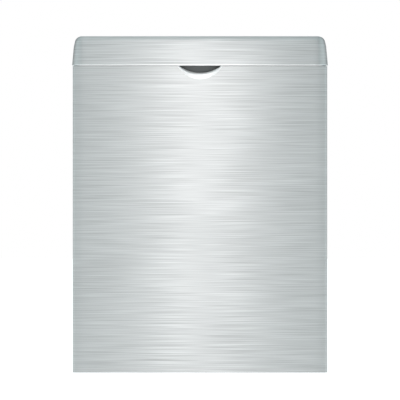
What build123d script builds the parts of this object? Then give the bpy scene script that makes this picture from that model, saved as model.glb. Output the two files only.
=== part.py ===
from build123d import *

import os

# A wall-hung waste bin in stainless sheet: a bent front-and-sides wrap welded to a back plate and a bottom
# pan, a drawn cover on a piano hinge along the top rear edge, and a moulded liner with a wire bail.
#
# Frame: +Z up, +Y into the wall, +X to the right of a person who faces the bin. The wall is the plane
# y = 0. Heights below count from the underside of the bin; write_node moves every solid down so that
# the origin is the centre of the four wall-screw holes, on the back face.

# Overall
OVERALL_HEIGHT = 254.0
OVERALL_DEPTH = 96.8
BODY_WIDTH = 192.0
SHEET = 0.8
BEND_RADIUS = 2.4

# Cover
COVER_HEIGHT = 22.6
COVER_OVERHANG = 0.9
COVER_DRAFT = 5.0
COVER_CORNER = 8.0
COVER_TOP_RADIUS = 5.5
COVER_HEM = 4.0
COVER_HEM_RADIUS = 0.7

# Body rim behind the cover's skirt
SHADOW_GAP = 0.2
RIM_STEP = 1.8
RIM_HEIGHT = 5.8
RIM_CORNER = 7.0
SHOULDER_RADIUS = 0.5
HEM_MIN_RADIUS = 0.4
NOTCH_BEHIND_RIM = 3.0

# Finger scoop in the front's top edge
SCOOP_HALF_CHORD = 17.0
SCOOP_DROP = 10.0
SCOOP_INNER_HALF_CHORD = 15.4
SCOOP_INNER_DROP = 5.4
SCOOP_DEPTH = 2.2

# Back plate, pan and mounting
SCREW_SPACING_X = 127.0
SCREW_SPACING_Z = 152.4
SCREW_HOLE_RADIUS = 2.8
SCREW_CENTRE_HEIGHT = 120.0
WRAP_FLANGE = 12.0
REAR_CUT_DEPTH = 6.0
UPPER_BACK_BELOW_PIN = 1.5
BACK_ABOVE_PIN = 1.2
BACK_OVERLAP = 1.0
PAN_FLANGE = 12.0
PAN_SIDE_GAP = 0.4
DRAIN_HOLE_RADIUS = 1.75
DRAIN_SPACING_X = 140.0
DRAIN_SPACING_Y = 60.0
STRAP_LENGTH = 156.0
STRAP_HEIGHT = 26.0
STRAP_THICKNESS = 1.2
STRAP_CORNER = 4.0
RAIL_X = 40.0
RAIL_WIDTH = 14.0
RAIL_FOOT = 7.0
RAIL_STAND_OFF = 6.2
RAIL_BEND = 1.6
RAIL_Z = (60.0, 180.0)

# Piano hinge
BARREL_RADIUS = 2.4
PIN_RADIUS = 1.2
PIN_CLEARANCE = 0.05
LEAF_THICKNESS = 1.0
HINGE_LENGTH = 176.0
KNUCKLE_COUNT = 15
KNUCKLE_GAP = 0.3
BODY_LEAF_DROP = 22.0
COVER_LEAF_REACH = 25.0
LEAF_RELIEF = 2.7
LEAF_SIDE_GAP = 1.5
LEAF_LOWER_GAP = 2.0
PIN_END = 0.6
COVER_NOTCH_GAP = 1.0

# Cover stops and bumpers
STOP_X = 62.0
STOP_WIDTH = 16.0
STOP_FOOT = 2.7
STOP_BEND = 3.2
STOP_CLEARANCE = 0.1
STOP_FLANGE = 9.0
BUMPER_LENGTH = 14.0
BUMPER_TOP = 2.5
BUMPER_LEG = 5.0
BUMPER_THICKNESS = 1.2
BUMPER_EDGE = 0.6

# Liner
LINER_HALF_WIDTH = 86.0
LINER_HALF_DEPTH = 37.0
LINER_CENTRE_Y = -49.0
LINER_LEDGE = 206.0
LINER_TOP = 238.0
LINER_WALL = 2.2
LINER_DRAFT = 1.15
LINER_CORNER = 12.0
LINER_BOTTOM_RADIUS = 6.0
LEDGE_WIDTH = 4.0
LINER_RIM_BEAD = 0.8
LINER_RIM_HEIGHT = 3.0
LINER_RIM_EDGE = 1.0
LEDGE_OUTER_RADIUS = 1.5
PAD_HEIGHT = 3.0
PAD_RADIUS = 7.0
PAD_EDGE = 0.8
PAD_INSET_X = 62.0
PAD_INSET_Y = 22.0
LINER_SEAT_GAP = 0.1

# Bail
WIRE_RADIUS = 1.6
BAIL_BEND = 6.0
BAIL_END_BEND = 2.0
BAIL_HALF_WIDTH = 82.8
BAIL_REACH = 34.5
GRIP_RADIUS = 3.5
GRIP_LENGTH = 84.0
GRIP_END_RADIUS = 1.4
GRIP_REST_GAP = 0.2
BOSS_RADIUS = 5.0
BOSS_HEIGHT = 1.8
BOSS_ROOT = 1.0
BAIL_CLEARANCE = 0.08
CLIP_RADIUS = 3.6
CLIP_THICKNESS = 0.9
CLIP_GAP = 0.2
WIRE_END = 0.5

# Worked out from the values above
BODY_HALF = BODY_WIDTH / 2
BODY_FRONT = -(OVERALL_DEPTH - COVER_OVERHANG)
BODY_BACK = -SHEET
COVER_FRONT = -OVERALL_DEPTH
COVER_HALF = BODY_HALF + COVER_OVERHANG
COVER_LOWER_EDGE = OVERALL_HEIGHT - COVER_HEIGHT
SHOULDER_TOP = COVER_LOWER_EDGE - SHADOW_GAP
RIM_TOP = SHOULDER_TOP + RIM_HEIGHT
RIM_FRONT_INNER = BODY_FRONT + RIM_STEP + 2 * SHEET
HINGE_Y = -(SHEET + BARREL_RADIUS)
HINGE_Z = OVERALL_HEIGHT - SHEET - BARREL_RADIUS
HINGE_HALF = HINGE_LENGTH / 2
COVER_UNDERSIDE = OVERALL_HEIGHT - SHEET
COVER_REAR_EDGE = HINGE_Y - BARREL_RADIUS - SHEET
BUMPER_FACE = RIM_TOP + BUMPER_TOP
PAN_FLOOR = SHEET
LINER_BOTTOM = PAN_FLOOR + PAD_HEIGHT + LINER_SEAT_GAP
BAIL_Z = LINER_LEDGE + GRIP_REST_GAP + GRIP_RADIUS
COLLAR_HALF = LINER_HALF_WIDTH + LEDGE_WIDTH
CUT = 400.0
NEAR = 0.01


def span_box(x_range, y_range, z_range):
    """A box between two values on each axis."""
    centre = [(low + high) / 2 for low, high in (x_range, y_range, z_range)]
    size = [high - low for low, high in (x_range, y_range, z_range)]
    return Pos(*centre) * Box(*size)


def rod_x(radius, x_range, y, z):
    """A round bar along X."""
    middle = (x_range[0] + x_range[1]) / 2
    return Pos(middle, y, z) * Rot(0, 90, 0) * Cylinder(radius, x_range[1] - x_range[0])


def rounded_block(half_width, y_range, z_range, radius):
    """An upright block whose four vertical edges are rounded."""
    outline = RectangleRounded(2 * half_width, y_range[1] - y_range[0], radius)
    return extrude(Pos(0, sum(y_range) / 2, z_range[0]) * outline, z_range[1] - z_range[0])


def ring(half_width, y_range, z_range, radius, wall):
    """An upright closed ring of sheet with rounded vertical corners."""
    inner_y = (y_range[0] + wall, y_range[1] - wall)
    outer = rounded_block(half_width, y_range, z_range, radius)
    return outer - rounded_block(half_width - wall, inner_y, z_range, max(radius - wall, HEM_MIN_RADIUS))


def scoop_outline(y, half_chord, drop, grow):
    """The scoop's outline at depth y: a circular arc hung from a level chord at the shoulder."""
    face_plane = Plane(origin=(0, y, SHOULDER_TOP), x_dir=(1, 0, 0), z_dir=(0, -1, 0))
    left, low, right = (-half_chord - grow, 0), (0, -drop - grow), (half_chord + grow, 0)
    outline = ThreePointArc(left, low, right) + Line(right, left)
    return face_plane * make_face(outline)


def scoop_form(grow):
    """The tapering recess between the scoop's mouth in the front and its inner opening."""
    mouth = scoop_outline(BODY_FRONT, SCOOP_HALF_CHORD, SCOOP_DROP, grow)
    inner = scoop_outline(BODY_FRONT + SCOOP_DEPTH, SCOOP_INNER_HALF_CHORD, SCOOP_INNER_DROP, grow)
    return loft([mouth, inner])


def make_body_wrap():
    """Front and sides in one sheet, with rear flanges, a stepped hemmed rim and the finger scoop."""
    outer_y = (BODY_FRONT, BODY_BACK)
    rim_y = (BODY_FRONT + RIM_STEP, BODY_BACK - RIM_STEP)
    rim_inner_y = (rim_y[0] + 2 * SHEET, rim_y[1] - 2 * SHEET)
    rim_inner_half = BODY_HALF - RIM_STEP - 2 * SHEET
    walls = ring(BODY_HALF, outer_y, (0, SHOULDER_TOP), BEND_RADIUS, SHEET)
    shoulder = rounded_block(BODY_HALF, outer_y, (SHOULDER_TOP - SHEET, SHOULDER_TOP), BEND_RADIUS)
    rim = rounded_block(BODY_HALF - RIM_STEP, rim_y, (SHOULDER_TOP - SHEET, RIM_TOP), RIM_CORNER)
    rim_hollow = rounded_block(rim_inner_half, rim_inner_y, (SHOULDER_TOP - SHEET, RIM_TOP),
                               RIM_CORNER - 2 * SHEET)
    wrap = walls + shoulder + rim - rim_hollow
    shoulder_edge = [edge for edge in wrap.edges()
                     if abs(edge.center().Z - SHOULDER_TOP) < NEAR and edge.length > BODY_HALF
                     and (abs(edge.center().Y - BODY_FRONT) < NEAR
                          or abs(edge.center().X) > BODY_HALF - NEAR)]
    wrap = fillet(shoulder_edge, SHOULDER_RADIUS)
    between_flanges = BODY_HALF - WRAP_FLANGE
    beside_leaf = HINGE_HALF + LEAF_SIDE_GAP
    wrap -= span_box((-between_flanges, between_flanges), (-REAR_CUT_DEPTH, CUT), (-CUT, CUT))
    below_leaf = HINGE_Z - BODY_LEAF_DROP - LEAF_LOWER_GAP
    wrap -= span_box((-beside_leaf, beside_leaf), (-REAR_CUT_DEPTH, CUT), (below_leaf, CUT))
    wrap -= scoop_form(SHEET)
    wrap += scoop_form(SHEET) - scoop_form(0)
    notch = SCOOP_INNER_HALF_CHORD
    wrap -= span_box((-notch, notch), (-CUT, RIM_FRONT_INNER + NOTCH_BEHIND_RIM), (SHOULDER_TOP - NEAR, CUT))
    mouth = SCOOP_HALF_CHORD
    wrap -= span_box((-mouth, mouth), (-CUT, BODY_FRONT + RIM_STEP), (SHOULDER_TOP - NEAR, CUT))
    return wrap


def screw_holes():
    """Four round bars along Y, one at each wall-screw hole."""
    hole = Rot(90, 0, 0) * Cylinder(SCREW_HOLE_RADIUS, CUT)
    half_x, half_z = SCREW_SPACING_X / 2, SCREW_SPACING_Z / 2
    return [Pos(x, 0, SCREW_CENTRE_HEIGHT + z) * hole for x in (-half_x, half_x) for z in (-half_z, half_z)]


def make_back_plate():
    """The full-height back, which stands up behind the hinge and is stepped clear of the cover's sides."""
    thickness = (-SHEET, 0)
    lower = span_box((-BODY_HALF, BODY_HALF), thickness, (0, SHOULDER_TOP))
    shoulder_half = BODY_HALF - RIM_STEP
    upper_z = (SHOULDER_TOP - BACK_OVERLAP, HINGE_Z - UPPER_BACK_BELOW_PIN)
    upper = span_box((-shoulder_half, shoulder_half), thickness, upper_z)
    upper = fillet(upper.edges().filter_by(Axis.Y).group_by(Axis.Z)[-1], COVER_TOP_RADIUS)
    behind_hinge = span_box((-HINGE_HALF, HINGE_HALF), thickness, (SHOULDER_TOP, HINGE_Z + BACK_ABOVE_PIN))
    plate = lower + upper + behind_hinge
    for hole in screw_holes():
        plate -= hole
    return plate


def make_mount_strap(height):
    """A doubling strap welded inside the back plate, with two of the screw holes."""
    half = STRAP_LENGTH / 2
    low, high = height - STRAP_HEIGHT / 2, height + STRAP_HEIGHT / 2
    strap = span_box((-half, half), (BODY_BACK - STRAP_THICKNESS, BODY_BACK), (low, high))
    strap = fillet(strap.edges().filter_by(Axis.Y), STRAP_CORNER)
    for hole in screw_holes():
        strap -= hole
    return strap


def make_bottom_pan():
    """A shallow pan with upturned flanges that fits inside the wrap, drained by four small holes."""
    half = BODY_HALF - SHEET
    pan_y = (BODY_FRONT + SHEET, BODY_BACK - SHEET)
    between_flanges = BODY_HALF - WRAP_FLANGE - PAN_SIDE_GAP
    pan = rounded_block(half, pan_y, (0, PAN_FLANGE), BEND_RADIUS - SHEET)
    inside_y = (pan_y[0] + SHEET, pan_y[1] - SHEET)
    pan -= rounded_block(half - SHEET, inside_y, (SHEET, PAN_FLANGE), BEND_RADIUS - 2 * SHEET)
    pan += span_box((-between_flanges, between_flanges), (pan_y[1] - SHEET, BODY_BACK), (0, PAN_FLANGE))
    half_x, half_y = DRAIN_SPACING_X / 2, DRAIN_SPACING_Y / 2
    for x in (-half_x, half_x):
        for y in (LINER_CENTRE_Y - half_y, LINER_CENTRE_Y + half_y):
            pan -= Pos(x, y, 0) * Cylinder(DRAIN_HOLE_RADIUS, PAN_FLANGE)
    return pan


def make_guide_rail(x):
    """A hat-section rail: a raised web on two legs, with a welded foot on each side."""
    half = RAIL_WIDTH / 2
    face = BODY_BACK - RAIL_STAND_OFF
    rail = span_box((x - half, x + half), (face, BODY_BACK), RAIL_Z)
    bends = [edge for edge in rail.edges().filter_by(Axis.Z) if edge.center().Y < face + NEAR]
    rail = fillet(bends, RAIL_BEND)
    rail -= span_box((x - half + SHEET, x + half - SHEET), (face + SHEET, CUT), RAIL_Z)
    feet = span_box((x - half - RAIL_FOOT, x + half + RAIL_FOOT), (BODY_BACK - SHEET, BODY_BACK), RAIL_Z)
    feet -= span_box((x - half + SHEET, x + half - SHEET), (-CUT, CUT), RAIL_Z)
    return rail + feet


def knuckle_spans(remainder):
    """The X spans of every second knuckle, counted from the left end of the hinge."""
    pitch = HINGE_LENGTH / KNUCKLE_COUNT
    starts = [-HINGE_HALF + index * pitch for index in range(remainder, KNUCKLE_COUNT, 2)]
    return [(start + KNUCKLE_GAP / 2, start + pitch - KNUCKLE_GAP / 2) for start in starts]


def make_leaf(plate, remainder, relief):
    """A hinge leaf: its plate, cut clear of the other leaf's knuckles, and its own drilled knuckles."""
    leaf = plate
    for start, end in knuckle_spans(1 - remainder):
        leaf -= span_box((start - KNUCKLE_GAP, end + KNUCKLE_GAP), *relief)
    for span in knuckle_spans(remainder):
        leaf += rod_x(BARREL_RADIUS, span, HINGE_Y, HINGE_Z)
    return leaf - rod_x(PIN_RADIUS + PIN_CLEARANCE, (-CUT, CUT), HINGE_Y, HINGE_Z)


def make_body_leaf():
    """The lower leaf, welded to the inside of the back plate."""
    plate_y = (BODY_BACK - LEAF_THICKNESS, BODY_BACK)
    plate = span_box((-HINGE_HALF, HINGE_HALF), plate_y, (HINGE_Z - BODY_LEAF_DROP, HINGE_Z))
    return make_leaf(plate, 0, (plate_y, (HINGE_Z - LEAF_RELIEF, HINGE_Z + 1)))


def make_cover_leaf():
    """The upper leaf, welded under the top of the cover."""
    plate_z = (COVER_UNDERSIDE - LEAF_THICKNESS, COVER_UNDERSIDE)
    plate = span_box((-HINGE_HALF, HINGE_HALF), (HINGE_Y - COVER_LEAF_REACH, HINGE_Y), plate_z)
    return make_leaf(plate, 1, ((HINGE_Y - LEAF_RELIEF, HINGE_Y + 1), plate_z))


def make_hinge_pin():
    """The full-length pin, standing a little out of both ends of the barrel."""
    return rod_x(PIN_RADIUS, (-HINGE_HALF - PIN_END, HINGE_HALF + PIN_END), HINGE_Y, HINGE_Z)


def cover_form(inset):
    """The cover's outside as a solid, or the same form shrunk inwards; it runs on past the back."""
    past_back = 60.0
    front = COVER_FRONT + inset
    outline = RectangleRounded(2 * (COVER_HALF - inset), past_back - front, COVER_CORNER - inset)
    form = extrude(Pos(0, (front + past_back) / 2, COVER_LOWER_EDGE - inset) * outline, COVER_HEIGHT,
                   taper=COVER_DRAFT)
    return fillet(form.faces().sort_by(Axis.Z)[-1].edges(), COVER_TOP_RADIUS - inset)


def make_cover():
    """A drawn tray upside down: drafted skirts, a hem inside their lower edge and a notch for the hinge."""
    outside = cover_form(0)
    lower_loop = outside.faces().sort_by(Axis.Z)[0].outer_wire().edges()
    cover = fillet(lower_loop, COVER_HEM_RADIUS) - cover_form(SHEET)
    hem_top = COVER_LOWER_EDGE + COVER_HEM
    hem_band = span_box((-CUT, CUT), (-CUT, CUT), (COVER_LOWER_EDGE, hem_top))
    cover += (cover_form(SHEET) - cover_form(2 * SHEET)) & hem_band
    cover -= span_box((-CUT, CUT), (HINGE_Y, CUT), (0, CUT))
    notch = HINGE_HALF + COVER_NOTCH_GAP
    cover -= span_box((-notch, notch), (COVER_REAR_EDGE, CUT), (0, CUT))
    return cover


def make_cover_stop(x):
    """A bent Z-bracket under the cover's top, whose foot comes down on a bumper."""
    span = (x - STOP_WIDTH / 2, x + STOP_WIDTH / 2)
    foot_z = BUMPER_FACE + STOP_CLEARANCE
    web_y = BODY_FRONT + RIM_STEP + STOP_FOOT
    web_front = web_y - LEAF_THICKNESS
    bent = span_box(span, (web_front, web_y + STOP_FLANGE), (foot_z, COVER_UNDERSIDE))
    bent -= span_box(span, (web_y, CUT), (0, COVER_UNDERSIDE - LEAF_THICKNESS))
    along = bent.edges().filter_by(Axis.X)
    outer = [edge for edge in along
             if edge.center().Y < web_front + NEAR and edge.center().Z > COVER_UNDERSIDE - NEAR]
    bent = fillet(outer, STOP_BEND)
    inner = [edge for edge in bent.edges().filter_by(Axis.X)
             if abs(edge.center().Y - web_y) < NEAR and edge.center().Z > foot_z + LEAF_THICKNESS]
    bent = fillet(inner, STOP_BEND - LEAF_THICKNESS)
    return bent + span_box(span, (web_y - STOP_FOOT, web_y), (foot_z, foot_z + LEAF_THICKNESS))


def make_bumper(x):
    """A rubber bumper that hooks over the inside of the body's rim."""
    span = (x - BUMPER_LENGTH / 2, x + BUMPER_LENGTH / 2)
    inside = (RIM_FRONT_INNER, RIM_FRONT_INNER + BUMPER_THICKNESS)
    cap = span_box(span, (BODY_FRONT + RIM_STEP, inside[1]), (RIM_TOP, BUMPER_FACE))
    bumper = cap + span_box(span, inside, (RIM_TOP - BUMPER_LEG, BUMPER_FACE))
    top_edges = [edge for edge in bumper.edges() if edge.center().Z > BUMPER_FACE - NEAR]
    return fillet(top_edges, BUMPER_EDGE)


def liner_y(half_depth):
    """Front and back of something centred on the liner."""
    return (LINER_CENTRE_Y - half_depth, LINER_CENTRE_Y + half_depth)


def drafted_tub(half_width, half_depth, top, bottom, corner, bottom_radius):
    """A solid tub that narrows downwards, with rounded corners and bottom edge."""
    outline = RectangleRounded(2 * half_width, 2 * half_depth, corner)
    mouth = Plane(origin=(0, LINER_CENTRE_Y, top), z_dir=(0, 0, -1)) * outline
    tub = extrude(mouth, top - bottom, taper=LINER_DRAFT)
    return fillet(tub.faces().sort_by(Axis.Z)[0].edges(), bottom_radius)


def make_liner():
    """A moulded tub that steps out to a wider collar; the step inside is the ledge the bail lies on."""
    ledge_underside = LINER_LEDGE - LINER_WALL
    tub = drafted_tub(LINER_HALF_WIDTH, LINER_HALF_DEPTH, LINER_LEDGE, LINER_BOTTOM, LINER_CORNER,
                      LINER_BOTTOM_RADIUS)
    collar_depth = LINER_HALF_DEPTH + LEDGE_WIDTH
    collar_corner = LINER_CORNER + LEDGE_WIDTH
    collar = rounded_block(COLLAR_HALF, liner_y(collar_depth), (ledge_underside, LINER_TOP), collar_corner)
    collar = fillet(collar.faces().sort_by(Axis.Z)[0].edges(), LEDGE_OUTER_RADIUS)
    rim_z = (LINER_TOP - LINER_RIM_HEIGHT, LINER_TOP)
    rim = rounded_block(COLLAR_HALF + LINER_RIM_BEAD, liner_y(collar_depth + LINER_RIM_BEAD), rim_z,
                        collar_corner + LINER_RIM_BEAD)
    rim_edges = rim.faces().sort_by(Axis.Z)[0].edges() + rim.faces().sort_by(Axis.Z)[-1].edges()
    rim = fillet(rim_edges, LINER_RIM_EDGE)
    outside = tub + collar + rim
    collar_hollow = rounded_block(COLLAR_HALF - LINER_WALL, liner_y(collar_depth - LINER_WALL),
                                  (LINER_LEDGE, LINER_TOP), collar_corner - LINER_WALL)
    tub_hollow = drafted_tub(LINER_HALF_WIDTH - LINER_WALL, LINER_HALF_DEPTH - LINER_WALL, LINER_LEDGE,
                             LINER_BOTTOM + LINER_WALL, LINER_CORNER - LINER_WALL,
                             LINER_BOTTOM_RADIUS - LINER_WALL)
    liner = outside - collar_hollow - tub_hollow
    for side in (-1, 1):
        inner_face = side * (COLLAR_HALF - LINER_WALL)
        liner += rod_x(BOSS_RADIUS, sorted((inner_face + side * BOSS_ROOT, inner_face - side * BOSS_HEIGHT)),
                       LINER_CENTRE_Y, BAIL_Z)
    return liner - rod_x(WIRE_RADIUS + BAIL_CLEARANCE, (-CUT, CUT), LINER_CENTRE_Y, BAIL_Z)


def make_bail():
    """The wire bail, lying forward on the ledge, with its ends turned out through the collar."""
    end_x = COLLAR_HALF + CLIP_GAP + CLIP_THICKNESS + WIRE_END
    near, far = LINER_CENTRE_Y, LINER_CENTRE_Y - BAIL_REACH
    half = BAIL_HALF_WIDTH
    corners = [(end_x, near), (half, near), (half, far), (-half, far), (-half, near), (-end_x, near)]
    bends = [BAIL_END_BEND, BAIL_BEND, BAIL_BEND, BAIL_END_BEND]
    route = FilletPolyline(*[(x, y, BAIL_Z) for x, y in corners], radius=bends)
    section = Plane(origin=(end_x, near, BAIL_Z), z_dir=(-1, 0, 0)) * Circle(WIRE_RADIUS)
    return sweep(section, path=route)


def make_bail_grip():
    """The moulded sleeve on the middle of the bail, rounded at its ends."""
    bar = rod_x(GRIP_RADIUS, (-GRIP_LENGTH / 2, GRIP_LENGTH / 2), LINER_CENTRE_Y - BAIL_REACH, BAIL_Z)
    bar = fillet(bar.edges(), GRIP_END_RADIUS)
    return bar - rod_x(WIRE_RADIUS, (-CUT, CUT), LINER_CENTRE_Y - BAIL_REACH, BAIL_Z)


def make_bail_clip(side):
    """A push-on clip that keeps one end of the bail in the collar."""
    start = COLLAR_HALF + CLIP_GAP
    span = sorted((side * start, side * (start + CLIP_THICKNESS)))
    return rod_x(CLIP_RADIUS, span, LINER_CENTRE_Y, BAIL_Z) - rod_x(
        WIRE_RADIUS, (-CUT, CUT), LINER_CENTRE_Y, BAIL_Z)


def make_rest_pads():
    """Four rubber pads on the pan, under the corners of the liner."""
    pad = Cylinder(PAD_RADIUS, PAD_HEIGHT)
    pad = fillet(pad.edges().sort_by(Axis.Z)[-1], PAD_EDGE)
    height = PAN_FLOOR + PAD_HEIGHT / 2
    return Compound(children=[Pos(x, LINER_CENTRE_Y + y, height) * pad
                              for x in (-PAD_INSET_X, PAD_INSET_X) for y in (-PAD_INSET_Y, PAD_INSET_Y)])


def write_node(name, shape):
    """Write one node, moved so that the origin is the centre of the wall-screw holes."""
    export_step(Pos(0, 0, -SCREW_CENTRE_HEIGHT) * shape, f"parts/{name}.step")


def main():
    os.makedirs("parts", exist_ok=True)
    strap_offset = SCREW_SPACING_Z / 2
    nodes = {
        "body_wrap": make_body_wrap(),
        "back_plate": make_back_plate(),
        "bottom_pan": make_bottom_pan(),
        "mount_strap_upper": make_mount_strap(SCREW_CENTRE_HEIGHT + strap_offset),
        "mount_strap_lower": make_mount_strap(SCREW_CENTRE_HEIGHT - strap_offset),
        "guide_rail_left": make_guide_rail(-RAIL_X),
        "guide_rail_right": make_guide_rail(RAIL_X),
        "body_hinge_leaf": make_body_leaf(),
        "cover_hinge_leaf": make_cover_leaf(),
        "hinge_pin": make_hinge_pin(),
        "cover": make_cover(),
        "cover_stop_left": make_cover_stop(-STOP_X),
        "cover_stop_right": make_cover_stop(STOP_X),
        "bumper_left": make_bumper(-STOP_X),
        "bumper_right": make_bumper(STOP_X),
        "liner": make_liner(),
        "liner_bail": make_bail(),
        "bail_grip": make_bail_grip(),
        "bail_clip_left": make_bail_clip(-1),
        "bail_clip_right": make_bail_clip(1),
        "rest_pads": make_rest_pads(),
    }
    for name, shape in nodes.items():
        write_node(name, shape)


main()
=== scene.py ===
import math

import bmesh
import bpy
import numpy as np
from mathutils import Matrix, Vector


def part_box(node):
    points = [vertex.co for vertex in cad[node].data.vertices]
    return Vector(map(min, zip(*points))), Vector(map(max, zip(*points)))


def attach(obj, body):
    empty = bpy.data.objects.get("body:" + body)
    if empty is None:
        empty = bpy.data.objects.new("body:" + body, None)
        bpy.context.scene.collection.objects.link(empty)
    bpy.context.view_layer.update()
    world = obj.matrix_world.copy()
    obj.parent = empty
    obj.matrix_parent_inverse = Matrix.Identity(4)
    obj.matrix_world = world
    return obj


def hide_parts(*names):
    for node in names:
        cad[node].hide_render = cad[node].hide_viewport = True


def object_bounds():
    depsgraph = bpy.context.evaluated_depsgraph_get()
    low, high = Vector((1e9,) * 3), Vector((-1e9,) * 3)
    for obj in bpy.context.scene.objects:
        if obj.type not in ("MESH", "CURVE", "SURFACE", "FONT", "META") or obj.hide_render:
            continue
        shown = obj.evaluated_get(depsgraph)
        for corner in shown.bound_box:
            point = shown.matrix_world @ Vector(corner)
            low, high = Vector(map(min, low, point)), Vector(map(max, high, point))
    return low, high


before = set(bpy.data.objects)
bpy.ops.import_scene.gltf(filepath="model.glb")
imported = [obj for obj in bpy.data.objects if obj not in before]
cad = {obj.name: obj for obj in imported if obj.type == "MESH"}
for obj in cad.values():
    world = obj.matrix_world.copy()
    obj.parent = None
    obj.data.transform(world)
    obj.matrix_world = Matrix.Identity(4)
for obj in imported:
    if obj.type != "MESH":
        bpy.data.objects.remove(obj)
cad_low, cad_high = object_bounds()

# A wall-hung waste bin in brushed stainless sheet. Everything is in metres, in the part's own frame: +Z up,
# +Y into the wall, origin at the centre of the wall-screw holes. Sizes that the frame can't give are here.

MM = 0.001
SHEET = 0.8 * MM
EDGE_BREAK = 0.12 * MM              # width of the rounding on the cut edges of the body and the hinge
COVER_EDGE_BREAK = 0.15 * MM
MERGE_DISTANCE = 1e-6               # points closer than this are one point

# Body
BEND_RADIUS = 2.4 * MM              # of the four upright bends
WRAP_FLANGE = 12.0 * MM             # how far the wrap turns in behind the bin
RIM_STEP = 1.8 * MM                 # how far the rim stands in from the front and sides
RIM_CORNER = 7.0 * MM
RIM_HEM_CLEARANCE = 0.4 * MM        # between the shoulder and the end of the rim's hem
SHADOW_GAP = 0.2 * MM               # between the cover's edge and the body's shoulder
SHOULDER_BEND = 0.35 * MM
LEAF_SIDE_GAP = 1.5 * MM            # between the hinge's end and the rim
REAR_CUT_DEPTH = 6.0 * MM           # of the rim's cut-out round the hinge
WRAP_SIDE_COUNT, WRAP_CORNER_COUNT = 8, 9
SCOOP_HALF_CHORD = 17.0 * MM
SCOOP_DROP = 10.0 * MM
SCOOP_INNER_HALF_CHORD = 15.4 * MM
SCOOP_INNER_DROP = 5.4 * MM
SCOOP_DEPTH = 2.2 * MM
SCOOP_COUNT = 41                    # columns across the scoop
DISH_POWER = 8                      # how late the dish rolls in from the front
SCOOP_LIP = 0.7 * MM
LIP_REACH = 0.10                    # how far the lip runs past the inner opening, as a share of the dish
LIP_DROP = 0.8                      # how far it turns down, as a share of its radius

# Cover
COVER_DRAFT_ANGLE = 5.0
COVER_DRAFT = math.tan(math.radians(COVER_DRAFT_ANGLE))
COVER_CORNER = 8.0 * MM
COVER_TOP_RADIUS = 5.5 * MM
COVER_HEM = 4.0 * MM                # height of the hem's inner leg above the cover's edge
FOLD_HEIGHT = 0.45 * MM
BEAD_TOP = 0.95 * MM                # height of the bead's upper end above the cover's edge, where the painted highlight along it ends
COVER_COUNTS = (10, 13, 61)         # points along each side, round each corner and along the front

# Piano hinge
BARREL_RADIUS = 2.4 * MM
LEAF_THICKNESS = 1.0 * MM
LEAF_RELIEF = 2.7 * MM              # from the pin's axis to where the plate ends and the tongues begin
KNUCKLE_COUNT = 15
KNUCKLE_GAP = 0.3 * MM
PIN_DOME = 0.5                      # height of the pin's ends, as a share of its radius

# Bail and its grip
BAIL_HALF_WIDTH = 82.8 * MM
BAIL_BEND = 6.0 * MM
BAIL_END_BEND = 2.0 * MM
WIRE_DOME = 0.4                     # height of the wire's ends, as a share of its radius
GRIP_END_RADIUS = 1.4 * MM
GROOVE_PITCH = 4.0 * MM
GROOVE_DEPTH = 0.45 * MM
GROOVE_MARGIN = 6.0 * MM            # plain length at each end of the grip
GROOVE_FADE = 3.0 * MM              # length over which the grooves come in

# Positions that the frame gives
wrap_low, wrap_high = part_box("body_wrap")
cover_low, cover_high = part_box("cover")
leaf_low, leaf_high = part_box("body_hinge_leaf")
cover_leaf_low, cover_leaf_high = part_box("cover_hinge_leaf")
pin_low, pin_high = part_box("hinge_pin")
bail_low, bail_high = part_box("liner_bail")
grip_low, grip_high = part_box("bail_grip")

BODY_HALF = wrap_high.x
BODY_FRONT = wrap_low.y
BODY_BACK = wrap_high.y
FLOOR_Z = wrap_low.z
COVER_EDGE_Z = cover_low.z
COVER_TOP_Z = cover_high.z
SHOULDER_Z = COVER_EDGE_Z - SHADOW_GAP
RIM_Z = wrap_high.z
HINGE_Y = (pin_low.y + pin_high.y) / 2
HINGE_Z = (pin_low.z + pin_high.z) / 2
HINGE_HALF = leaf_high.x
PIN_RADIUS = (pin_high.z - pin_low.z) / 2
WIRE_RADIUS = (bail_high.z - bail_low.z) / 2
BAIL_Z = (bail_low.z + bail_high.z) / 2
COVER_HALF = cover_high.x
COVER_FRONT = cover_low.y
COVER_REAR_EDGE = HINGE_Y - BARREL_RADIUS - SHEET


# Mesh helpers

def grid_faces(rows, columns, start=0):
    """Quads of a rows x columns grid of points numbered row by row from start."""
    row, column = np.meshgrid(np.arange(rows - 1), np.arange(columns - 1), indexing="ij")
    corner = (start + row * columns + column).ravel()
    return np.stack([corner, corner + 1, corner + columns + 1, corner + columns], axis=1)


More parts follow.
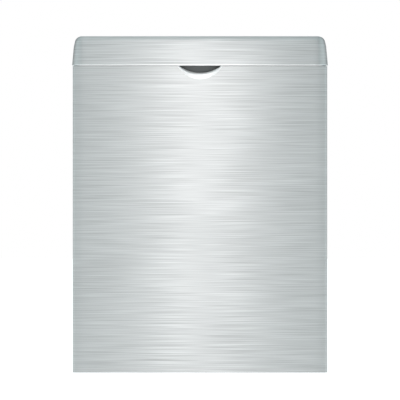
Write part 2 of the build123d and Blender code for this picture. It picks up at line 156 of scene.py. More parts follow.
def make_piece(name, grids, body, replaced, sharp_angle=35.0, material_numbers=None):
    """One mesh object from grids of (points, uv): arrays of rows x columns x 3 and rows x columns x 2.

    Shared borders are welded and faces of no area dropped. Every grid runs anticlockwise seen from outside.
    finishes gives the number of each grid's material.
    """
    points, faces, uvs, finish, start = [], [], [], [], 0
    for number, (grid, uv) in enumerate(grids):
        rows, columns = grid.shape[:2]
        faces.append(grid_faces(rows, columns, start))
        finish.append(np.full(len(faces[-1]), material_numbers[number] if material_numbers else 0))
        points.append(grid.reshape(-1, 3))
        uvs.append(uv.reshape(-1, 2))
        start += rows * columns
    points, faces, uvs = np.concatenate(points), np.concatenate(faces), np.concatenate(uvs)
    mesh = bpy.data.meshes.new(name)
    mesh.from_pydata(points.tolist(), [], faces.tolist())
    layer = mesh.uv_layers.new(name="grain")
    layer.data.foreach_set("uv", uvs[faces.ravel()].astype(np.float32).ravel())
    mesh.polygons.foreach_set("material_index", np.concatenate(finish).astype(np.int32))
    work = bmesh.new()
    work.from_mesh(mesh)
    bmesh.ops.remove_doubles(work, verts=work.verts, dist=MERGE_DISTANCE)
    bmesh.ops.dissolve_degenerate(work, edges=work.edges, dist=MERGE_DISTANCE)
    work.to_mesh(mesh)
    work.free()
    mesh.polygons.foreach_set("use_smooth", np.ones(len(mesh.polygons), bool))
    mesh.set_sharp_from_angle(angle=math.radians(sharp_angle))
    piece = bpy.data.objects.new(name, mesh)
    bpy.context.scene.collection.objects.link(piece)
    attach(piece, body)
    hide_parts(*replaced)
    return piece


def as_sheet(piece, thickness, edge_radius, rounded_angle=40.0, sharp_angle=20.0):
    """Gives a skin its thickness on its back, rounds every edge that turns by more than rounded_angle and
    keeps the result.

    Edges that turn by more than sharp_angle are shaded sharp, so flat faces stay flat up to the rounding.
    """
    solid = piece.modifiers.new("thickness", "SOLIDIFY")
    solid.thickness = thickness
    solid.offset = -1
    solid.use_even_offset = True
    bevel = piece.modifiers.new("edge_break", "BEVEL")
    bevel.width = edge_radius
    bevel.segments = 2
    bevel.limit_method = "ANGLE"
    bevel.angle_limit = math.radians(rounded_angle)
    graph = bpy.context.evaluated_depsgraph_get()
    graph.update()
    skin = piece.data
    finished = piece.evaluated_get(graph)
    piece.data = bpy.data.meshes.new_from_object(finished, preserve_all_data_layers=True, depsgraph=graph)
    piece.data.name = skin.name + "_sheet"
    bpy.data.meshes.remove(skin)
    piece.modifiers.clear()
    piece.data.set_sharp_from_angle(angle=math.radians(sharp_angle))


def line(start, end, count):
    """Evenly spaced values from start to end, end left out."""
    return np.linspace(start, end, count, endpoint=False)


def arc(centre, radius, start, end, count):
    """Points on an arc in the plane, angles in degrees from the first axis, the last point included."""
    angle = np.radians(np.linspace(start, end, count))
    return np.stack([centre[0] + radius * np.cos(angle), centre[1] + radius * np.sin(angle)], axis=1)


def run_length(points):
    """Distance along a row of points, from the first one."""
    steps = np.linalg.norm(np.diff(points, axis=0), axis=1)
    return np.concatenate([[0.0], np.cumsum(steps)])


# Cover

def u_outline(half, front, back, corner, side_count, corner_count, front_count):
    """A U in plan: down the left side from the back, round the corner, along the front and up the right.

    Each corner is a quarter circle, so all outlines with the same counts match point for point.
    """
    left = np.stack([np.full(side_count, -half), line(back, front + corner, side_count)], axis=1)
    left_corner = arc((-half + corner, front + corner), corner, 180, 270, corner_count)
    along = line(-half + corner, half - corner, front_count)[1:]
    middle = np.stack([along, np.full(front_count - 1, front)], axis=1)
    right_corner = arc((half - corner, front + corner), corner, 270, 360, corner_count)
    right = np.stack([np.full(side_count, half), line(back, front + corner, side_count)[::-1]], axis=1)
    return np.concatenate([left, left_corner, middle, right_corner, right])


def cover_profile():
    """Inset and height up the cover's skirt, in two runs that meet.

    The first goes down the hem's inside, round its fold as half an ellipse, and up the narrow bead that the
    fold leaves, where the inset grows as half a cosine. The second goes up the skirt, straight but drafted,
    and over the top edge's arc, which ends level.
    """
    hem_inside = np.array([[2 * SHEET + COVER_HEM * COVER_DRAFT, COVER_EDGE_Z + COVER_HEM]])
    fold_arc = arc((0, 0), 1, 0, -180, count=13) * [SHEET, FOLD_HEIGHT]
    fold_arc = fold_arc + [SHEET, COVER_EDGE_Z + FOLD_HEIGHT]
    top_inset = (COVER_TOP_Z - COVER_EDGE_Z) * COVER_DRAFT
    centre = (top_inset + COVER_TOP_RADIUS, COVER_TOP_Z - COVER_TOP_RADIUS)
    edge_arc = arc(centre, COVER_TOP_RADIUS, 180 - COVER_DRAFT_ANGLE, 90, count=15)
    bead_turn = np.linspace(0, math.pi, 7)[1:]
    bead_height = COVER_EDGE_Z + FOLD_HEIGHT + (BEAD_TOP - FOLD_HEIGHT) * bead_turn / math.pi
    bead = np.column_stack([BEAD_TOP * COVER_DRAFT * (1 - np.cos(bead_turn)) / 2, bead_height])
    skirt_height = line(bead[-1, 1], edge_arc[0, 1], count=6)[1:]
    skirt = np.column_stack([(skirt_height - COVER_EDGE_Z) * COVER_DRAFT, skirt_height])
    return np.concatenate([hem_inside, fold_arc, bead]), np.concatenate([bead[-1:], skirt, edge_arc])


def make_cover():
    """Skirt: the profile carried round a U in plan. Top: straight lines from the U's inner ring to the rear
    edge in front of the hinge."""
    along = run_length(u_outline(COVER_HALF, COVER_FRONT, HINGE_Y, COVER_CORNER, *COVER_COUNTS))
    grids, distance = [], 0.0
    for profile in cover_profile():
        rings = []
        for inset, height in profile:
            ring = u_outline(COVER_HALF - inset, COVER_FRONT + inset, HINGE_Y, COVER_CORNER - inset,
                             *COVER_COUNTS)
            rings.append(np.column_stack([ring, np.full(len(ring), height)]))
        across = distance + run_length(profile)
        distance = across[-1]
        grids.append((np.array(rings), np.stack(np.meshgrid(along - along[-1] / 2, across), axis=2)))

    ring = grids[-1][0][-1]
    share = np.linspace(0, 1, len(ring))
    rear = np.column_stack([ring[0, 0] + share * (ring[-1, 0] - ring[0, 0]),
                            np.full(len(ring), COVER_REAR_EDGE), ring[:, 2]])
    way_back = np.linspace(0, 1, 9)[:, None, None]
    top = ring[None] * (1 - way_back) + rear[None] * way_back
    ring_front = ring[:, 1].min()
    grids.append((top, np.stack([top[:, :, 0], distance + top[:, :, 1] - ring_front], axis=2)))
    # The hem, its fold and its bead take the near-white steel: a painted highlight along the cover's lower
    # edge.
    cover = make_piece("cover_shell", grids, "cover_assembly", ["cover"], material_numbers=(1, 0, 0))
    as_sheet(cover, SHEET, COVER_EDGE_BREAK)
    return cover


# Body wrap

def scoop_arc(x, half_chord, drop):
    """How far below its chord a circular arc hangs at x."""
    radius = (half_chord ** 2 + drop ** 2) / (2 * drop)
    reach = np.clip(radius ** 2 - x ** 2, 0, None)
    return np.clip(np.sqrt(reach) - (radius - drop), 0, None)


def ring_outline(inset, corner, back, front_xs):
    """The body's outline in plan, in two runs: its left side and its front.

    The left side is the rear flange, a quarter circle, a straight side and a second quarter circle. The front
    is a straight row of points at the X positions given.
    """
    half, front = BODY_HALF - inset, BODY_FRONT + inset
    flange = np.array([[WRAP_FLANGE - BODY_HALF, back]])
    rear_corner = arc((-half + corner, back - corner), corner, 90, 180, WRAP_CORNER_COUNT)
    side_ys = line(back - corner, front + corner, WRAP_SIDE_COUNT)[1:]
    side = np.column_stack([np.full(len(side_ys), -half), side_ys])
    front_corner = arc((-half + corner, front + corner), corner, 180, 270, WRAP_CORNER_COUNT)
    left = np.concatenate([flange, rear_corner, side, front_corner])
    middle = np.column_stack([front_xs, np.full(len(front_xs), front)])
    return left, middle


def front_positions():
    """X of the front's columns: even, but spaced as a sine across the scoop, whose ends are columns."""
    scoop = SCOOP_HALF_CHORD * np.sin(np.linspace(-math.pi / 2, math.pi / 2, SCOOP_COUNT))
    outer = line(BODY_HALF - BEND_RADIUS, SCOOP_HALF_CHORD, count=12)[1:]
    return np.concatenate([-outer, scoop, outer[::-1]])


def mirror_grid(grid, uv):
    """The same grid on the other side of x = 0, turned so that it still faces outwards."""
    flipped = grid[:, ::-1].copy()
    flipped[:, :, 0] *= -1
    flipped_uv = uv[:, ::-1].copy()
    flipped_uv[:, :, 0] *= -1
    return flipped, flipped_uv


def make_wrap_walls():
    """Front and sides: the outline in plan carried straight up to the shoulder's bend.

    On the front the top row follows the scoop's arc. The row below it is one bend lower everywhere.
    """
    left, middle = ring_outline(0, BEND_RADIUS, BODY_BACK, front_positions())
    right = left[::-1] * [-1, 1]
    outline = np.concatenate([left, middle, right])
    on_front = np.abs(outline[:, 1] - BODY_FRONT) < MERGE_DISTANCE
    drop = np.where(on_front, scoop_arc(outline[:, 0], SCOOP_HALF_CHORD, SCOOP_DROP), 0.0)
    top = np.where(drop > 0, SHOULDER_Z - drop, SHOULDER_Z - SHOULDER_BEND)
    way_up = np.linspace(0, 1, 7)[:, None]
    below_bend = FLOOR_Z + way_up * (top[None] - SHOULDER_BEND - FLOOR_Z)
    heights = np.concatenate([below_bend, top[None]])
    plan = np.broadcast_to(outline, (len(heights),) + outline.shape)
    grid = np.concatenate([plan, heights[:, :, None]], axis=2)
    along = run_length(outline)
    uv = np.stack([np.broadcast_to(along - along[-1] / 2, heights.shape), heights], axis=2)
    return grid, uv


def make_wrap_rim():
    """Left half of the shoulder and the hemmed rim: an S-shaped step inwards, then up, over and down inside.

    The profile is carried from the rear corner to the scoop's edge, and the plan's corner opens out as the
    profile steps in.
    """
    bend, step = SHOULDER_BEND, RIM_STEP
    out_arc = arc((bend, SHOULDER_Z - bend), bend, 180, 90, count=6)
    in_arc = arc((step - bend, SHOULDER_Z + bend), bend, 270, 360, count=5)
    fold = arc((step + SHEET, RIM_Z - SHEET), SHEET, 180, 0, count=9)
    inside = np.array([[step + 2 * SHEET, SHOULDER_Z + RIM_HEM_CLEARANCE]])
    profile = np.concatenate([out_arc, in_arc, fold, inside])
    share = np.clip(profile[:, 0] / step, 0, 1)
    corners = BEND_RADIUS + share * (RIM_CORNER - BEND_RADIUS)
    corners = np.where(profile[:, 0] > step, RIM_CORNER - (profile[:, 0] - step), corners)
    rings = []
    for (inset, height), corner in zip(profile, corners):
        scoop_end = np.interp(inset, [0, SCOOP_DEPTH], [SCOOP_HALF_CHORD, SCOOP_INNER_HALF_CHORD])
        xs = np.linspace(-(BODY_HALF - inset - corner), -scoop_end, 14)[1:]
        left, middle = ring_outline(inset, corner, BODY_BACK - min(inset, step), xs)
        ring = np.concatenate([left, middle])
        beside_leaf = np.minimum(ring[:, 0], -HINGE_HALF - LEAF_SIDE_GAP)
        ring[:, 0] = np.where(ring[:, 1] > BODY_BACK - REAR_CUT_DEPTH, beside_leaf, ring[:, 0])
        rings.append(np.column_stack([ring, np.full(len(ring), height)]))
    grid = np.array(rings)
    along = run_length(grid[0, :, :2])
    uv = np.stack(np.meshgrid(along - along[-1] - SCOOP_HALF_CHORD, SHOULDER_Z + run_length(profile)), axis=2)
    return grid, uv


def make_scoop_dish():
    """The pressed finger scoop: a surface lofted from the mouth's arc to the inner opening's arc.

    The depth grows as a high power of the way in, so the dish is nearly level with the front before it rolls
    over, and it ends in a small lip that turns inwards and down on a quarter circle.
    """
    turn = np.linspace(-math.pi / 2, math.pi / 2, SCOOP_COUNT)
    share = np.sin(turn)
    mouth_x = SCOOP_HALF_CHORD * share
    inner_x = SCOOP_INNER_HALF_CHORD * share
    mouth_z = SHOULDER_Z - scoop_arc(mouth_x, SCOOP_HALF_CHORD, SCOOP_DROP)
    inner_z = SHOULDER_Z - scoop_arc(inner_x, SCOOP_INNER_HALF_CHORD, SCOOP_INNER_DROP)
    travel = np.linspace(0, 1, 15)
    lip_turn = np.radians(np.linspace(15, 90, 6))
    lip_roll = SCOOP_LIP * (1 - np.cos(lip_turn))
    depth = np.concatenate([travel ** DISH_POWER * SCOOP_DEPTH, SCOOP_DEPTH + lip_roll])
    across = np.concatenate([travel, 1 + LIP_REACH * np.sin(lip_turn)])[:, None]
    x = mouth_x * (1 - across) + inner_x * across
    z = mouth_z * (1 - across) + inner_z * across
    lower = np.concatenate([np.zeros(len(travel)), LIP_DROP * lip_roll])[:, None]
    z = z - lower * np.cos(turn)[None]
    y = np.broadcast_to((BODY_FRONT + depth)[:, None], x.shape)
    grid = np.stack([x, y, z], axis=2)
    uv = np.stack([x, SHOULDER_Z - SCOOP_DROP + np.broadcast_to(across * SCOOP_DEPTH, x.shape)], axis=2)
    return grid, uv


def make_body_wrap():
    """The four grids, welded where they meet; the scoop's dish takes the near-white steel, a painted
    highlight.
    """
    rim = make_wrap_rim()
    grids = [make_wrap_walls(), rim, mirror_grid(*rim), make_scoop_dish()]
    wrap = make_piece("body_wrap_shell", grids, "housing", ["body_wrap"], sharp_angle=50.0,
                      material_numbers=(0, 0, 0, 1))
    as_sheet(wrap, SHEET, EDGE_BREAK, rounded_angle=50.0)
    return wrap


# Piano hinge

def knuckle_spans(remainder):
    """The X spans of every second knuckle, counted from the left end of the hinge."""
    pitch = 2 * HINGE_HALF / KNUCKLE_COUNT
    starts = -HINGE_HALF + pitch * np.arange(remainder, KNUCKLE_COUNT, 2)
    return [(start + KNUCKLE_GAP / 2, start + pitch - KNUCKLE_GAP / 2) for start in starts]


def sheet_strip(profile, xs, distance, turned):
    """A row of (y, z) points carried along X, as a grid of points with its grain running along X."""
    xs = xs[::-1] if turned else xs
    grid = np.empty((len(profile), len(xs), 3))
    grid[:, :, 0] = xs[None]
    grid[:, :, 1:] = profile[:, None]
    along = distance + run_length(profile)
    return grid, np.stack(np.meshgrid(xs, along), axis=2)


def make_leaf(name, body, replaced, remainder, far_edge, relief, curl, turned):
    """One sheet: a straight plate from its far edge to the relief line and, at every second pitch, a tongue
    that goes on and curls round the pin as an arc of a circle."""
    own, other = knuckle_spans(remainder), knuckle_spans(1 - remainder)
    edges = np.unique(np.round(np.array(own + other).ravel(), 9))
    edges = np.unique(np.concatenate([edges, [-HINGE_HALF, HINGE_HALF]]))
    plate = np.array([far_edge, relief])
    tongue = np.concatenate([[relief], arc((HINGE_Y, HINGE_Z), BARREL_RADIUS, *curl, count=27)])
    length = run_length(plate)[-1]
    grids = [sheet_strip(plate, edges, 0.0, turned)]
    grids += [sheet_strip(tongue, np.round(np.array(span), 9), length, turned) for span in own]
    leaf = make_piece(name, grids, body, [replaced])
    as_sheet(leaf, LEAF_THICKNESS, EDGE_BREAK, rounded_angle=50.0)
    return leaf


def make_hinge():
    """Both leaves: the plate's outer skin is tangent to the barrel, and each curl stops at its own plate."""
    back = leaf_high.y
    body_leaf = make_leaf("body_leaf", "housing", "body_hinge_leaf", 0, (back, leaf_low.z),
                          (back, HINGE_Z - LEAF_RELIEF), (0, 300), True)
    top = cover_leaf_high.z
    cover_leaf = make_leaf("cover_leaf", "cover_assembly", "cover_hinge_leaf", 1, (cover_leaf_low.y, top),
                           (HINGE_Y - LEAF_RELIEF, top), (90, -210), False)
    return [body_leaf, cover_leaf]


def turned_about_x(profile, y, z, count):
    """A row of (x, radius) points turned about a line along X; the seam meets itself."""
    angle = np.linspace(0, 2 * math.pi, count)
    x, radius = profile[:, :1], profile[:, 1:]
    grid = np.stack([np.broadcast_to(x, (len(profile), count)), y + radius * np.cos(angle)[None],
                     z + radius * np.sin(angle)[None]], axis=2)
    along = run_length(profile)
    return grid, np.stack(np.meshgrid(angle * profile[:, 1].max(), along)[::-1], axis=2)


def dome_profile(end, radius, depth):
    """A quarter of an ellipse in (x, radius): from the axis at the end out to the full radius."""
    turn = np.radians(np.linspace(0, 90, 8))
    inward = -np.sign(end)
    return np.column_stack([end + inward * depth * (1 - np.cos(turn)), radius * np.sin(turn)])


def make_pin():
    """A drawn rod: a straight line with a quarter ellipse at each end, turned about the hinge's axis."""
    left = dome_profile(pin_low.x, PIN_RADIUS, PIN_DOME * PIN_RADIUS)
    profile = np.concatenate([left, left[::-1] * [-1, 1]])
    rod = turned_about_x(profile, HINGE_Y, HINGE_Z, count=25)
    return make_piece("pin_rod", [rod], "housing", ["hinge_pin"])


# Bail

def bail_path():
    """The wire's centre line in plan, from end to end: straight runs joined by quarter circles."""
    near, far = bail_high.y - WIRE_RADIUS, bail_low.y + WIRE_RADIUS
    half, bend, end_bend = BAIL_HALF_WIDTH, BAIL_BEND, BAIL_END_BEND
    end_xs = np.linspace(bail_high.x, half + end_bend, 6)[:-1]
    arm_ys = np.linspace(near - end_bend, far + bend, 10)[1:-1]
    bar_xs = np.linspace(half - bend, 0, 9)[1:]
    right = np.concatenate([
        np.column_stack([end_xs, np.full(len(end_xs), near)]),
        arc((half + end_bend, near - end_bend), end_bend, 90, 180, count=9),
        np.column_stack([np.full(len(arm_ys), half), arm_ys]),
        arc((half - bend, far + bend), bend, 0, -90, count=13),
        np.column_stack([bar_xs, np.full(len(bar_xs), far)])])
    return np.concatenate([right, (right * [-1, 1])[-2::-1]])


def make_bail():
    """Round wire: a circle carried square to its centre line, closed by a quarter ellipse at each end."""
    path = bail_path()
    heading = np.gradient(path, axis=0)
    heading /= np.linalg.norm(heading, axis=1)[:, None]
    side = np.stack([-heading[:, 1], heading[:, 0]], axis=1)
    dome = dome_profile(bail_high.x, WIRE_RADIUS, WIRE_DOME * WIRE_RADIUS)
    start = np.column_stack([dome[:, 0], np.full(len(dome), path[0, 1])])
    path = np.concatenate([start, path[1:-1], (start * [-1, 1])[::-1]])
    side = np.concatenate([np.repeat(side[:1], len(dome), axis=0), side[1:-1],
                           np.repeat(side[-1:], len(dome), axis=0)])
    radius = np.concatenate([dome[:, 1], np.full(len(path) - 2 * len(dome), WIRE_RADIUS), dome[::-1, 1]])
    angle = np.linspace(0, 2 * math.pi, 21)
    out = radius[:, None] * np.cos(angle)[None]
    up = radius[:, None] * np.sin(angle)[None]
    grid = np.stack([path[:, :1] + out * side[:, :1], path[:, 1:] + out * side[:, 1:], BAIL_Z + up], axis=2)
    grid = grid[:, ::-1]
    uv = np.stack(np.meshgrid(angle * WIRE_RADIUS, run_length(path))[::-1], axis=2)
    return make_piece("bail_wire_bent", [(grid, uv)], "bail", ["liner_bail"], sharp_angle=60.0)


def make_grip():
    """A moulded sleeve with ring grooves, turned about the wire, with rounded ends and a bore.

    The radius dips at an even pitch as the square of a cosine's upper half, which fades out near the ends.
    """
    end, radius = grip_high.x, (grip_high.z - grip_low.z) / 2
    round_end = GRIP_END_RADIUS
    x = np.linspace(-end + round_end, end - round_end, 241)
    fade = np.clip((end - GROOVE_MARGIN - np.abs(x)) / GROOVE_FADE, 0, 1)
    dip = np.clip(np.cos(2 * math.pi * x / GROOVE_PITCH), 0, 1) ** 2
    body = np.column_stack([x, radius - GROOVE_DEPTH * fade * dip])
    cap = arc((end - round_end, radius - round_end), round_end, 90, 0, count=7)[1:]
    bore = np.array([[end, WIRE_RADIUS]])
    right = np.concatenate([cap, bore])
    left = right[::-1] * [-1, 1]
    profile = np.concatenate([left, body, right, left[:1]])
    sleeve = turned_about_x(profile, (grip_low.y + grip_high.y) / 2, BAIL_Z, count=41)
    return make_piece("grip_sleeve", [sleeve], "bail", ["bail_grip"])


# Materials

NOISE_RANGE = (0.3, 0.7)            # nearly all of a noise's values lie between these
TONE_RANGE = (0.32, 0.68)           # the brushing's values that take the darkest and the lightest colour
BRUSHING = (21.0, 2600.0)           # the noise's scale along and across the grain, per metre
BROAD_BRUSHING = (0.7, 0.75)        # the broader noise's scales, as shares of those
FINE_WEIGHT, BROAD_WEIGHT = 0.62, 0.38
HANDLING = (14.0, 22.0)             # scale of the cloudiness that hands leave
BRUSHING_SWING = 0.03               # how much each of the two changes the roughness
HANDLING_SWING = 0.015
SCRATCH_STRENGTH = 0.12
SCRATCH_DEPTH = 0.02 * MM

WELD_PITCH = 28.0 * MM
WELD_X = 90.0 * MM                  # of each row of spot welds
WELD_RING = (1.2 * MM, 1.6 * MM)    # the heat tint comes in between these distances from a weld's centre
WELD_FADE = (1.6 * MM, 3.4 * MM)    # and goes out between these
HEAT_TINT = (0.30, 0.21, 0.12)

FLOW = (18.0, 18.0, 9.0)            # scale of a moulding's flow marks
SCUFFS = (60.0, 60.0, 420.0)        # and of its scuffs, which run level
SCUFF_RANGE = (0.55, 0.8)
FLOW_SHARE, SCUFF_SHARE = 0.6, 0.4
GRAIN_STRENGTH = 0.5


def new_material(name):
    """A material with its node tree at hand."""
    material = bpy.data.materials.new(name)
    material.use_nodes = True
    nodes = material.node_tree.nodes
    return material, nodes, material.node_tree.links, nodes["Principled BSDF"]


def add_node(nodes, kind, **settings):
    """A node with its properties and unlinked inputs set by name; spaces in input names are underscores."""
    node = nodes.new(kind)
    for key, value in settings.items():
        if hasattr(node, key):
            setattr(node, key, value)
        else:
            node.inputs[key.replace("_", " ")].default_value = value
    return node


def scaled_noise(nodes, links, coordinate, scale, detail, roughness):
    """Noise stretched by a different scale on each axis, as brushing and dirt are."""
    mapping = add_node(nodes, "ShaderNodeMapping", vector_type="POINT")
    mapping.inputs["Scale"].default_value = scale
    links.new(coordinate, mapping.inputs["Vector"])
    noise = add_node(nodes, "ShaderNodeTexNoise", Scale=1.0, Detail=detail, Roughness=roughness)
    links.new(mapping.outputs["Vector"], noise.inputs["Vector"])
    return noise.outputs["Fac"]


def ramp(nodes, links, value, low, high, out_low, out_high):
    """A value remapped from low..high to out_low..out_high and held there."""
    node = add_node(nodes, "ShaderNodeMapRange")
    for name, number in (("From Min", low), ("From Max", high), ("To Min", out_low), ("To Max", out_high)):
        node.inputs[name].default_value = number
    links.new(value, node.inputs["Value"])
    return node.outputs["Result"]


def maths(nodes, links, operation, first, second):
    """One arithmetic step on two values, each a socket or a number."""
    node = add_node(nodes, "ShaderNodeMath", operation=operation)
    for socket, value in zip(node.inputs, (first, second)):
        if isinstance(value, (int, float)):
            socket.default_value = value
        else:
            links.new(value, socket)
    return node.outputs["Value"]


def blended(nodes, links, share, first, second):
    """A colour from first to second by a share from 0 to 1, each of them three numbers or a socket."""
    mix = add_node(nodes, "ShaderNodeMix", data_type="RGBA")
    colour_inputs = [socket for socket in mix.inputs if socket.type == "RGBA"]
    for socket, colour in zip(colour_inputs, (first, second)):
        if isinstance(colour, tuple):
            socket.default_value = (*colour, 1)
        else:
            links.new(colour, socket)
    links.new(share, mix.inputs["Factor"])
    return [socket for socket in mix.outputs if socket.type == "RGBA"][0]


def weld_marks(nodes, links, coordinate):
    """One on the rings of heat tint round a row of spot welds up each side edge, and nothing elsewhere.

    Each weld's distance comes from folding height back and forth at the weld pitch and X about the centre.
    """
    split = add_node(nodes, "ShaderNodeSeparateXYZ")
    links.new(coordinate, split.inputs["Vector"])
    height = maths(nodes, links, "PINGPONG", split.outputs["Z"], WELD_PITCH / 2)
    from_middle = maths(nodes, links, "ABSOLUTE", split.outputs["X"], 0.0)
    sideways = maths(nodes, links, "SUBTRACT", from_middle, WELD_X)
    square = maths(nodes, links, "ADD", maths(nodes, links, "MULTIPLY", height, height),
                   maths(nodes, links, "MULTIPLY", sideways, sideways))
    distance = maths(nodes, links, "SQRT", square, 0.0)
    outer = ramp(nodes, links, distance, *WELD_FADE, 1.0, 0.0)
    inner = ramp(nodes, links, distance, *WELD_RING, 0.0, 1.0)
    return maths(nodes, links, "MULTIPLY", outer, inner)


def brush_scale(scale, on_uv):
    """A scale along and across the grain, put on each axis: along U on a map, level on a bare piece."""
    along, across = scale
    return (along, across, 1.0) if on_uv else (along, along, across)


def brushed_steel(name, tint, roughness, anisotropy, streak, on_uv=True, welded=False):
    """Satin-brushed stainless: long fine scratches along the grain in colour, roughness and height, over a
    faint cloudiness from handling. Welded sheet also has rings of straw-brown heat tint."""
    material, nodes, links, shader = new_material(name)
    if on_uv:
        coordinate = add_node(nodes, "ShaderNodeUVMap", uv_map="grain").outputs["UV"]
        tangent = add_node(nodes, "ShaderNodeTangent", direction_type="UV_MAP", uv_map="grain")
    else:
        coordinate = add_node(nodes, "ShaderNodeTexCoord").outputs["Object"]
        tangent = add_node(nodes, "ShaderNodeTangent", direction_type="RADIAL", axis="Z")
    broad_scale = [scale * share for scale, share in zip(BRUSHING, BROAD_BRUSHING)]
    fine, broad, cloud = [
        scaled_noise(nodes, links, coordinate, brush_scale(scale, on_uv), detail, roughness=0.5)
        for scale, detail in ((BRUSHING, 1.0), (broad_scale, 1.0), (HANDLING, 2.0))]
    mixed = maths(nodes, links, "ADD", maths(nodes, links, "MULTIPLY", fine, FINE_WEIGHT),
                  maths(nodes, links, "MULTIPLY", broad, BROAD_WEIGHT))
    tone = ramp(nodes, links, mixed, *TONE_RANGE, 0.0, 1.0)
    dark = tuple(c * (1 - streak) for c in tint)
    light = tuple(min(c * (1 + streak), 1.0) for c in tint)
    colour = blended(nodes, links, tone, dark, light)
    if welded:
        colour = blended(nodes, links, weld_marks(nodes, links, coordinate), colour, HEAT_TINT)
    links.new(colour, shader.inputs["Base Color"])
    scratched = ramp(nodes, links, mixed, *NOISE_RANGE, roughness + BRUSHING_SWING,
                     roughness - BRUSHING_SWING)
    handled = ramp(nodes, links, cloud, *NOISE_RANGE, -HANDLING_SWING, HANDLING_SWING)
    links.new(maths(nodes, links, "ADD", scratched, handled), shader.inputs["Roughness"])
    bump = add_node(nodes, "ShaderNodeBump", Strength=SCRATCH_STRENGTH, Distance=SCRATCH_DEPTH)
    links.new(mixed, bump.inputs["Height"])
    links.new(bump.outputs["Normal"], shader.inputs["Normal"])
    shader.inputs["Metallic"].default_value = 1.0
    shader.inputs["Anisotropic"].default_value = anisotropy
    shader.inputs["Anisotropic Rotation"].default_value = 0.25      # a quarter turn
    links.new(tangent.outputs["Tangent"], shader.inputs["Tangent"])
    return material


def moulded(name, colour, roughness, grain_scale, grain_height):
    """Moulded plastic or rubber: a spark-eroded grain, faint flow marks and scuffs."""
    material, nodes, links, shader = new_material(name)
    coordinate = add_node(nodes, "ShaderNodeTexCoord").outputs["Object"]
    grain = scaled_noise(nodes, links, coordinate, (grain_scale,) * 3, detail=2.0, roughness=0.6)
    flow = scaled_noise(nodes, links, coordinate, FLOW, detail=4.0, roughness=0.6)
    scuff = scaled_noise(nodes, links, coordinate, SCUFFS, detail=3.0, roughness=0.7)
    shade = maths(nodes, links, "ADD", ramp(nodes, links, flow, *NOISE_RANGE, 0.0, FLOW_SHARE),
                  ramp(nodes, links, scuff, *SCUFF_RANGE, 0.0, SCUFF_SHARE))
    dark = tuple(c * 0.85 for c in colour)
    light = tuple(c * 1.22 + 0.006 for c in colour)
    links.new(blended(nodes, links, shade, dark, light), shader.inputs["Base Color"])
    dull = ramp(nodes, links, flow, *NOISE_RANGE, roughness - 0.05, roughness + 0.06)
    links.new(dull, shader.inputs["Roughness"])
    bump = add_node(nodes, "ShaderNodeBump", Strength=GRAIN_STRENGTH, Distance=grain_height)
    links.new(grain, bump.inputs["Height"])
    links.new(bump.outputs["Normal"], shader.inputs["Normal"])
    return material


def dress(objects, *materials):
    """Puts the materials on each object in place of what it has.

    Clearing a mesh's materials sets all its faces to the first one, so a mesh without any isn't cleared.
    """
    for thing in objects:
        if thing.data.materials:
            thing.data.materials.clear()
        for material in materials:
            thing.data.materials.append(material)


# Studio

OBJECT_SHARE_OF_FRAME = 0.8425      # the bin's height as a share of the picture's
CAMERA_DISTANCE = 1.6               # from the bin's front
CAMERA_RISE = 3.1 * MM              # of the lens above the bin's middle
SENSOR = 36.0
ROOM_LEVEL = 0.27                   # brightness of the room that the steel reflects, straight ahead
ROOM_SIDES = 2.4                    # how many times as bright it is at its sides
ROOM_WALL = 0.4                     # and on the wall's side
ROOM_TOP = 0.35                     # what is added overhead
ROOM_TINT = (0.83, 0.98, 1.0)
SIDE_FADE = (0.25, 0.9)             # where each of those comes in, as a direction's part along the axis
WALL_FADE = (0.05, 0.6)
TOP_FADE = (0.15, 0.9)
FLOOR_HALF = 3.0
FLOOR_GLOW = 0.85
STRIP_POWER = 0.85
STRIP_TINT = (1.0, 0.94, 0.935)
OVERHEAD_POWER = 1.0


def make_camera():
    """Square on to the front, a little above mid-height."""
    data = bpy.data.cameras.new("camera")
    camera = bpy.data.objects.new("camera", data)
    bpy.context.scene.collection.objects.link(camera)
    view_height = (cad_high.z - cad_low.z) / OBJECT_SHARE_OF_FRAME
    data.sensor_width = SENSOR
    data.lens = SENSOR * CAMERA_DISTANCE / view_height
    camera.location = (0, BODY_FRONT - CAMERA_DISTANCE, (cad_low.z + cad_high.z) / 2 + CAMERA_RISE)
    camera.rotation_euler = (math.radians(90), 0, 0)
    bpy.context.scene.camera = camera


def add_softbox(name, place, aim, width, height, power, colour):
    """A rectangular light at place, turned towards aim, that the camera doesn't see."""
    data = bpy.data.lights.new(name, "AREA")
    data.shape = "RECTANGLE"
    data.size, data.size_y = width, height
    data.energy, data.color = power, colour
    light = bpy.data.objects.new(name, data)
    bpy.context.scene.collection.objects.link(light)
    light.location = place
    direction = np.array(aim) - np.array(place)
    tilt = math.atan2(np.hypot(direction[0], direction[1]), -direction[2])
    light.rotation_euler = (tilt, 0, math.atan2(direction[1], direction[0]) - math.pi / 2)
    light.visible_camera = False


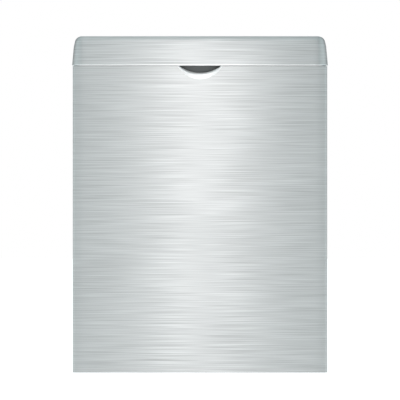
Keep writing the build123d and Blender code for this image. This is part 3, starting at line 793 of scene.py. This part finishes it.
def make_world():
    """White behind the bin; in reflections, a cool grey room, lighter at its sides and overhead and darker on
    the wall's side, which leaves a thin dark line down each edge of the steel."""
    world = bpy.data.worlds.new("studio")
    bpy.context.scene.world = world
    world.use_nodes = True
    nodes, links = world.node_tree.nodes, world.node_tree.links
    background = nodes["Background"]
    direction = add_node(nodes, "ShaderNodeTexCoord").outputs["Generated"]
    split = add_node(nodes, "ShaderNodeSeparateXYZ")
    links.new(direction, split.inputs["Vector"])
    sideways = maths(nodes, links, "ABSOLUTE", split.outputs["X"], 0.0)
    side = maths(nodes, links, "MULTIPLY", ramp(nodes, links, sideways, *SIDE_FADE, 1.0, ROOM_SIDES),
                 ramp(nodes, links, split.outputs["Y"], *WALL_FADE, 1.0, ROOM_WALL))
    above = ramp(nodes, links, split.outputs["Z"], *TOP_FADE, 0.0, ROOM_TOP)
    level = maths(nodes, links, "ADD", maths(nodes, links, "MULTIPLY", side, ROOM_LEVEL), above)
    room = blended(nodes, links, level, (0, 0, 0), ROOM_TINT)
    white = nodes.new("ShaderNodeBackground")
    white.inputs["Color"].default_value = (1, 1, 1, 1)
    links.new(room, background.inputs["Color"])
    path = add_node(nodes, "ShaderNodeLightPath")
    mix = add_node(nodes, "ShaderNodeMixShader")
    links.new(path.outputs["Is Camera Ray"], mix.inputs["Fac"])
    links.new(background.outputs["Background"], mix.inputs[1])
    links.new(white.outputs["Background"], mix.inputs[2])
    links.new(mix.outputs["Shader"], nodes["World Output"].inputs["Surface"])


def make_floor():
    """A plain white floor under the bin: one square that glows a little."""
    corners = [(x, y, FLOOR_Z) for y in (-FLOOR_HALF, FLOOR_HALF) for x in (-FLOOR_HALF, FLOOR_HALF)]
    mesh = bpy.data.meshes.new("floor")
    mesh.from_pydata(corners, [], [(0, 1, 3, 2)])
    floor = bpy.data.objects.new("floor", mesh)
    bpy.context.scene.collection.objects.link(floor)
    material, _, _, shader = new_material("floor_white")
    shader.inputs["Base Color"].default_value = (0.6, 0.6, 0.6, 1)
    shader.inputs["Roughness"].default_value = 0.9
    shader.inputs["Emission Color"].default_value = (1, 1, 1, 1)
    shader.inputs["Emission Strength"].default_value = FLOOR_GLOW
    mesh.materials.append(material)


def make_lights():
    """A tall narrow strip in front, for the bright band down the middle, and a square softbox overhead."""
    middle = (0, BODY_FRONT, (cad_low.z + cad_high.z) / 2)
    add_softbox("front_strip", (-0.002, BODY_FRONT - 0.55, middle[2]), middle, width=0.05, height=1.6,
                power=STRIP_POWER, colour=STRIP_TINT)
    add_softbox("overhead", (-0.25, BODY_FRONT - 0.5, 1.1), middle, width=0.8, height=0.8,
                power=OVERHEAD_POWER, colour=(1, 1, 1))


# The bin

steel = brushed_steel("brushed_steel_body", (0.62, 0.63, 0.63), roughness=0.42, anisotropy=0.9, streak=0.21)
cover_steel = brushed_steel("brushed_steel_cover", (0.655, 0.665, 0.665), roughness=0.45, anisotropy=0.9,
                            streak=0.21)
# A nearly white copy of the body's steel with little streaking: a painted highlight on the scoop's dish and
# on the cover's hem bead.
highlight_painted_steel = brushed_steel("brushed_steel_painted_highlight", (0.96, 0.96, 0.96), roughness=0.42, anisotropy=0.9,
                              streak=0.02)
mill_steel = brushed_steel("mill_steel", (0.60, 0.61, 0.61), roughness=0.45, anisotropy=0.3, streak=0.03,
                           on_uv=False)
welded_steel = brushed_steel("mill_steel_welded", (0.60, 0.61, 0.61), roughness=0.45, anisotropy=0.3,
                             streak=0.03, on_uv=False, welded=True)
hinge_steel = brushed_steel("hinge_steel", (0.58, 0.58, 0.57), roughness=0.36, anisotropy=0.3, streak=0.04)
wire_steel = brushed_steel("drawn_wire", (0.62, 0.62, 0.61), roughness=0.24, anisotropy=0.4, streak=0.05)
rubber = moulded("bumper_rubber", (0.03, 0.03, 0.032), roughness=0.7, grain_scale=2500.0,
                 grain_height=0.03 * MM)
liner_plastic = moulded("liner_plastic", (0.20, 0.205, 0.205), roughness=0.5, grain_scale=1800.0,
                        grain_height=0.04 * MM)
grip_plastic = moulded("grip_plastic", (0.02, 0.02, 0.022), roughness=0.45, grain_scale=2200.0,
                       grain_height=0.03 * MM)

# The second material on the wrap and on the cover is the painted highlight.
dress([make_body_wrap()], steel, highlight_painted_steel)
dress([make_cover()], cover_steel, highlight_painted_steel)
dress(make_hinge(), hinge_steel)
dress([make_pin(), make_bail()], wire_steel)
dress([make_grip()], grip_plastic)
dress([cad[name] for name in ("back_plate", "bottom_pan")], welded_steel)
dress([cad[name] for name in ("mount_strap_upper", "mount_strap_lower", "guide_rail_left", "guide_rail_right",
                              "cover_stop_left", "cover_stop_right", "bail_clip_left", "bail_clip_right")],
      mill_steel)
dress([cad[name] for name in ("bumper_left", "bumper_right", "rest_pads")], rubber)
dress([cad["liner"]], liner_plastic)

make_world()
make_floor()
make_lights()
make_camera()
bpy.context.scene.view_settings.view_transform = "Standard"
